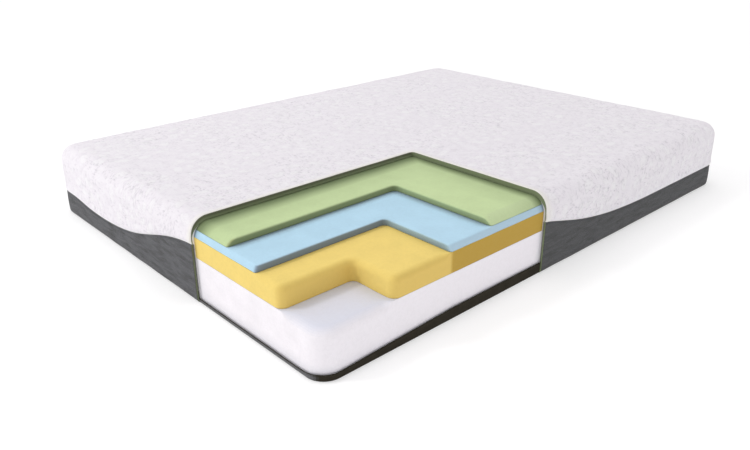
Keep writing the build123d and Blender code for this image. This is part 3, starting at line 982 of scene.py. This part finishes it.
def knit_look():
    """Pale jacquard knit: figures of short strokes, loop by loop, with a painted cream highlight by the
    cut edge.
    """
    look = Look("top_knit", 0.86, Sheen_Weight=0.2, Sheen_Roughness=0.5)
    u, v = look.cloth()
    rim = look.number("rim")
    loop_u, loop_v = u.snap(STITCH), v.snap(STITCH)
    figure = damask(loop_u, loop_v)
    strokes = look.strokes(loop_u, loop_v, 15 * MM, 5.5 * MM, 60 * MM)
    broad = look.noise(4.5, detail=2.0).ramp(0.38, 0.62)
    blotch = look.noise(34.0, loop_u, loop_v, 3.0).ramp(0.40, 0.62)
    outline = figure * (figure * -1 + 1) * 4.0
    light = (strokes * 0.5 + figure * 0.9 + blotch * 0.7).ramp(0.1, 1.6)
    shadow = (strokes - figure * 0.3 + blotch * 0.4).ramp(0.1, -1.1).call("MAXIMUM", outline * 0.45)
    shadow = shadow * (broad * 0.65 + 0.35)
    ground = look.mix(broad, (0.925, 0.885, 0.935), (0.945, 0.905, 0.955))
    shaded = look.mix(shadow, ground, (0.540, 0.518, 0.560))
    raised = look.mix(light, shaded, (0.985, 0.962, 0.990))
    knitted = loops(u, v, STITCH)
    gaps = look.mix(knitted.ramp(0.35, 0.0) * 0.12, raised, (0.50, 0.48, 0.51))
    # Painted highlight: the knit is lightened to cream along the cut edge
    painted_rim_highlight = look.mix(rim * 0.75, gaps, (0.93, 0.905, 0.835))
    waves = look.noise(1.0, u * 22.0, v * 70.0, 1.0) * rim * 1.5
    puffs = look.noise(34.0, u, v, 2.0)
    relief_of_knit = puffs * 1.6 + light * 0.35 + knitted * 0.3 + waves
    return look.finish(painted_rim_highlight, relief_of_knit, 1.7 * MM, figure * -0.12 + 0.92)


def border_look():
    """Dark grey melange cloth with streaks along its length, made paler by painted light where it faces
    the foot end.
    """
    look = Look("border_cloth", 0.92, Sheen_Weight=0.08, Sheen_Roughness=0.45, Specular_IOR_Level=0.25)
    u, v = look.cloth()
    threads = weave(u, v, 1.4 * MM)
    flecks = look.noise(1.0, u * 260.0, v * 620.0, 3.0)
    streaks = look.noise(1.0, u * 14.0, v * 75.0, 4.0, 0.4)
    fleck = flecks.ramp(0.36, 0.66)
    base = look.mix(fleck, (0.057, 0.058, 0.060), (0.117, 0.119, 0.125))
    # Painted light: faces towards the foot end, where the key light comes from, take a paler copy of the
    # cloth
    painted_foot_light = look.mix(fleck, (0.075, 0.076, 0.081), (0.155, 0.157, 0.168))
    base = look.mix(look.facing()[1].ramp(-0.3, -0.9), base, painted_foot_light)
    streaked = look.mix(streaks.ramp(0.42, 0.68) * 0.75, base, (0.052, 0.053, 0.052))
    return look.finish(streaked, threads * 0.5 + flecks * 0.6 + streaks * 0.8, 0.8 * MM)


# face is each foam's own colour. side, step, deep and top are painted shade on its sides, cuts, crevices
# and upper face, and by_cover the strength of painted shadow beside the cover's cut edge.
FOAMS = {
    "comfort_foam": {
        "face": (0.53, 0.655, 0.345),
        "side": (0.52, 0.63, 0.35),
        "step": (0.29, 0.32, 0.14),
        "deep": (0.165, 0.217, 0.10),
        "shade": 0.8,
        "crevice": 40 * MM,
        "by_cover": 0.95,
    },
    "cooling_foam": {
        "face": (0.455, 0.67, 0.81),
        "side": (0.42, 0.58, 0.69),
        "step": (0.21, 0.27, 0.35),
        "deep": (0.14, 0.18, 0.21),
        "shade": 0.8,
        "crevice": 30 * MM,
    },
    "transition_foam": {
        "face": (0.84, 0.635, 0.18),
        "side": (0.47, 0.30, 0.045),
        "step": (0.73, 0.52, 0.135),
        "deep": (0.66, 0.44, 0.07),
        "shade": 0.15,
        "crevice": 30 * MM,
    },
    "support_foam": {
        "face": (0.87, 0.84, 0.875),
        "side": (0.86, 0.83, 0.87),
        "step": (0.86, 0.83, 0.87),
        "deep": (0.50, 0.53, 0.59),
        "shade": 0.35,
        "crevice": 50 * MM,
        "top": (0.685, 0.695, 0.78),
    },
}


def painted_cover_shadow(look):
    """Painted shadow of the cover's cut edge: strongest beside it, with a long faint tail."""
    x, y, _ = look.split(look.place())
    left, right = x - CUT_X, y - CUT_Y
    near = left.ramp(80 * MM, 20 * MM).call("MAXIMUM", right.ramp(-48 * MM, -4 * MM))
    far = left.ramp(150 * MM, 60 * MM).call("MAXIMUM", right.ramp(-130 * MM, -40 * MM))
    return near.call("MAXIMUM", far * 0.2)


def foam_look(name, face, side, step, deep, shade, crevice, by_cover=0.0, top=None):
    """Open-celled foam. side is painted shade on its faces towards +X, step painted shading on those of
    its cuts, and deep painted shade in its crevices.

    shade and crevice are how strongly and how far painted shade darkens a crevice, and by_cover is how
    strongly painted shadow darkens it beside the cover's cut edge. top is painted shade on its upper face
    where that isn't the colour of face."""
    look = Look(name, 0.9)
    tone, cut = look.number("tone"), look.number("step")
    pores = look.cells(900.0)
    large = look.cells(330.0).ramp(0.0, 0.45)
    mottle = look.noise(16.0, detail=5.0)
    speckle = look.noise(110.0, detail=3.0)
    grain = look.noise(260.0, detail=4.0)
    body = look.mix(mottle.ramp(0.3, 0.7), *shades(face, 0.96, 1.03))
    # Painted shade: the upper face takes the darker, bluer top colour
    if top:
        body = look.mix(look.facing()[2].ramp(0.3, 0.95), body, top)
    # Painted shade on faces towards +X: the side colour, or the step colour where the step mask is set
    body = look.mix(tone, body, look.mix(cut, side, step))
    body = look.mix(speckle.ramp(0.52, 0.42) * 0.05, body, *shades(face, 0.6))
    holes = pores.ramp(0.30, 0.05) * 0.35 + large.ramp(0.25, 0.0) * 0.25
    body = look.mix(holes, body, *shades(face, 0.62))
    # Painted shadow beside the cover's cut edge, mixed towards deep
    if by_cover:
        body = look.mix(painted_cover_shadow(look) * by_cover, body, deep)
    # Painted shade: ambient occlusion mixes the colour towards deep in crevices
    body = look.mix(look.crevice(crevice).ramp(0.99, 0.6) * shade, body, deep)
    return look.finish(body, pores * 0.5 + large * 0.25 + grain * 0.6 + speckle * 0.8, 0.6 * MM)


def thread_look():
    """Dark spun thread."""
    look = Look("border_thread", 0.95, Sheen_Weight=0.03, Specular_IOR_Level=0.15)
    fibres = look.noise(1.0 / (0.6 * MM), detail=4.0, distortion=0.6)
    broad = look.noise(45.0, detail=3.0)
    colour = look.mix((fibres * 0.6 + broad * 0.4).ramp(0.35, 0.65), *shades((0.05, 0.05, 0.053), 1, 1.7))
    return look.finish(colour, fibres * 0.7 + broad * 0.4, 0.1 * MM)


GRIP_PITCH, GRIP_RADIUS = 14 * MM, 2.3 * MM  # the dots underneath


def base_look():
    """Near-black base cloth with rows of grip dots underneath, and grey along the foot end."""
    look = Look("base_cloth", 0.95, Specular_IOR_Level=0.15)
    u, v, _ = look.split(look.place())
    fibres = look.noise(1100.0, detail=4.0, distortion=0.6)
    broad = look.noise(45.0, detail=3.0)
    x = u - u.snap(GRIP_PITCH)
    y = v - v.snap(GRIP_PITCH)
    _, faces_y, faces_z = look.facing()
    from_dot = (x * x + y * y).call("SQRT")
    dots = from_dot.ramp(GRIP_RADIUS + 0.3 * MM, GRIP_RADIUS - 0.3 * MM) * faces_z.ramp(-0.6, -0.9)
    shade = (fibres * 0.6 + broad * 0.4).ramp(0.35, 0.65)
    dark = look.mix(shade, (0.018, 0.015, 0.009), (0.032, 0.027, 0.018))
    grey = look.mix(shade, (0.11, 0.11, 0.115), (0.16, 0.16, 0.165))
    cloth = look.mix(faces_y.ramp(-0.80, -0.97), dark, grey)
    dotted = look.mix(dots, cloth, (0.040, 0.040, 0.042))
    return look.finish(dotted, fibres * 0.35 + broad * 0.2 + dots * 1.5, 0.6 * MM, dots * -0.45 + 0.95)


# Olive of the green foam in shadow, painted onto the binding tape
FOAM_SHADOW_OLIVE = (0.150, 0.185, 0.092)


def binding_look():
    """Ribbed dark binding tape. Along its inner edge, and all over the arm across the mattress, it is
    painted olive shade, the green foam's colour in shadow, lighter than its own near-black.
    """
    look = Look("binding_tape", 0.85, Sheen_Weight=0.25)
    along, across = look.cloth()
    ribs = (along * (2 * math.pi / (1.6 * MM))).call("SINE") * 0.5 + 0.5
    fibres = look.noise(700.0, detail=3.0)
    y = look.split(look.place())[1]
    # Painted shade: olive along the inner edge and on the arm across the mattress
    painted_olive_shade = across.ramp(0, -5 * MM).call("MAXIMUM", (y - CUT_Y).ramp(-12 * MM, -4 * MM))
    dye_and_painted_shade = look.mix(painted_olive_shade, (0.052, 0.057, 0.026), FOAM_SHADOW_OLIVE)
    worn = look.mix((ribs * 0.6 + fibres * 0.4) * 0.4, dye_and_painted_shade, *shades(FOAM_SHADOW_OLIVE, 1.6))
    return look.finish(worn, ribs + fibres * 0.4, 0.35 * MM)


def pale_cloth_look(name, colour, scale, depth):
    """A pale fibrous cloth from inside the cover."""
    look = Look(name, 0.92, Sheen_Weight=0.2)
    fibres = look.noise(scale, detail=5.0, distortion=1.2)
    return look.finish(look.mix(fibres, *shades(colour, 0.82, 1)), fibres, depth)


def zip_tape_look():
    """Black herringbone tape."""
    look = Look("zip_tape", 0.85)
    u = look.split(look.place())[0]
    slant = (u * (2 * math.pi / (2.4 * MM))).call("SINE").call("ABSOLUTE")
    herringbone = (slant * 2.5 + u * 2600.0).call("SINE")
    fibres = look.noise(900.0)
    colour = look.mix(herringbone * 0.3 + fibres * 0.6, (0.02, 0.02, 0.022), (0.05, 0.05, 0.054))
    return look.finish(colour, herringbone * 0.5 + fibres * 0.5, 0.25 * MM)


def filament_look():
    """Black nylon."""
    look = Look("zip_coil", 0.42)
    grain = look.noise(1400.0, detail=2.0)
    return look.finish(look.mix(grain, *shades((0.025, 0.025, 0.027), 1, 1.4)), grain, 0.03 * MM)


def metal_look():
    """Lacquered zinc: dark, with worn lighter edges."""
    look = Look("zip_metal", 0.35, Metallic=0.65)
    grain = look.noise(700.0, detail=4.0)
    edges = look.read("NewGeometry", "Pointiness").ramp(0.5, 0.58)
    colour = look.mix(edges * grain, (0.045, 0.045, 0.048), (0.32, 0.31, 0.30))
    return look.finish(colour, grain, 0.04 * MM, grain * 0.25 + 0.25)


def wear(node, look):
    """Gives a carried-over CAD node a material."""
    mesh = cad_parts[node].data
    for slot in range(len(mesh.materials)):
        mesh.materials[slot] = look


def soften(node, width):
    """Rounds a carried-over CAD node's edges."""
    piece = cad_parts[node]
    modifier = piece.modifiers.new("soft_edges", "BEVEL")
    modifier.width = width
    modifier.segments = 3
    modifier.limit_method = "ANGLE"


# ------------------------------------------------------------------ the object


def build_cover():
    """The cover's top, borders, stitching and bound edge."""
    cover_top(knit_look())
    border_material = border_look()
    for node in BORDERS:
        border(node, border_material)
    seam_stitches(thread_look())
    binding(binding_look())
    wear("top_quilt_wadding", pale_cloth_look("wadding", (0.88, 0.88, 0.88), 420.0, 0.6 * MM))
    wear("top_quilt_backing", pale_cloth_look("backing_cloth", (0.78, 0.78, 0.78), 1100.0, 0.15 * MM))


def build_core():
    """The four foams, the sock round them and the base cloth under them."""
    looks = {name: foam_look(name, **values) for name, values in FOAMS.items()}
    green, blue, yellow = (notch_of(f"foam_{name}_layer") for name in ("comfort", "cooling", "transition"))
    foam("foam_comfort_layer", looks["comfort_foam"], 6 * MM)
    foam("foam_cooling_layer", looks["cooling_foam"], 5 * MM, 4 * MM, green)
    foam("foam_transition_layer", looks["transition_foam"], 20 * MM, 20 * MM, blue, 24 * MM, blue[1])
    foam("foam_support_base", looks["support_foam"], 2 * MM, 30 * MM, yellow)
    base_tray(base_look())
    wear("core_sock", pale_cloth_look("sock_cloth", (0.80, 0.79, 0.78), 900.0, 0.2 * MM))


def build_zip():
    """The zip's tapes, teeth, stops, slider and pull."""
    tape, filament, metal = zip_tape_look(), filament_look(), metal_look()
    wear("zip_tape_upper", tape)
    wear("zip_tape_lower", tape)
    coil("zip_coil_teeth_upper", "zip_coil_upper", filament, 0, -1)
    coil("zip_coil_teeth_lower", "zip_coil_lower", filament, 1, 1)
    for node in ("zip_stop_closed_end", "zip_stop_open_end", "zip_slider", "zip_pull"):
        wear(node, metal)
        soften(node, 0.25 * MM)


# ------------------------------------------------------------------ floor, light and camera


WORLD_LIGHT = 0.90
KEY_TURN, KEY_RISE = -28, 42  # degrees: round from the foot end, and up
KEY_AWAY, KEY_SIZE, KEY_POWER = 6.0, 1.1, 88  # metres, metres and watts

CAMERA_PLACE = Vector((1.84805, -1.83926, 1.02228))
CAMERA_TURN, CAMERA_RISE, CAMERA_ROLL = 47.398, 23.788, -0.2164  # degrees
CAMERA_LENS, CAMERA_SENSOR = 34.90, 36  # mm


def floor_and_world():
    """A white sweep that stays white, and soft light from all round."""
    bpy.ops.mesh.primitive_plane_add(size=60, location=(0, 0, -0.2 * MM))
    floor = bpy.context.object
    floor.name = "studio_floor"
    white, grey = (1, 1, 1, 1), (0.64, 0.64, 0.64, 1)
    look = Look("studio_floor", 0.9, Base_Color=grey, Emission_Color=white, Emission_Strength=0.42)
    floor.data.materials.append(look.material)
    world = bpy.data.worlds.new("studio")
    world.use_nodes = True
    bpy.context.scene.world = world
    background = world.node_tree.nodes["Background"]
    background.inputs["Color"].default_value = (1.0, 0.99, 1.0, 1)
    background.inputs["Strength"].default_value = WORLD_LIGHT


def direction(turn, rise):
    """Unit vector towards a light, from its turn round from the foot end and its rise, in degrees."""
    a, e = math.radians(turn), math.radians(rise)
    return Vector((math.sin(a) * math.cos(e), -math.cos(a) * math.cos(e), math.sin(e)))


def key_light():
    """A square lamp that faces the mattress from its foot end."""
    data = bpy.data.lights.new("key", "AREA")
    data.size = KEY_SIZE
    data.energy = KEY_POWER
    lamp = bpy.data.objects.new("key", data)
    towards = direction(KEY_TURN, KEY_RISE)
    lamp.location = towards * KEY_AWAY + Vector((0, 0, TOP / 2))
    lamp.rotation_euler = towards.to_track_quat("Z", "Y").to_euler()
    bpy.context.scene.collection.objects.link(lamp)


def add_camera():
    """The camera that looks at the cutaway corner from above."""
    data = bpy.data.cameras.new("view")
    data.lens = CAMERA_LENS
    data.sensor_width = CAMERA_SENSOR
    camera = bpy.data.objects.new("view", data)
    back = direction(CAMERA_TURN, CAMERA_RISE)
    right = Vector((math.cos(math.radians(CAMERA_TURN)), math.sin(math.radians(CAMERA_TURN)), 0))
    up = back.cross(right)
    level = Matrix((right, up, back)).transposed()
    roll = Matrix.Rotation(math.radians(CAMERA_ROLL), 3, "Z")
    camera.matrix_world = Matrix.Translation(CAMERA_PLACE) @ (level @ roll).to_4x4()
    bpy.context.scene.collection.objects.link(camera)
    bpy.context.scene.camera = camera


build_cover()
build_core()
build_zip()
floor_and_world()
key_light()
add_camera()
bpy.context.scene.view_settings.view_transform = "Standard"
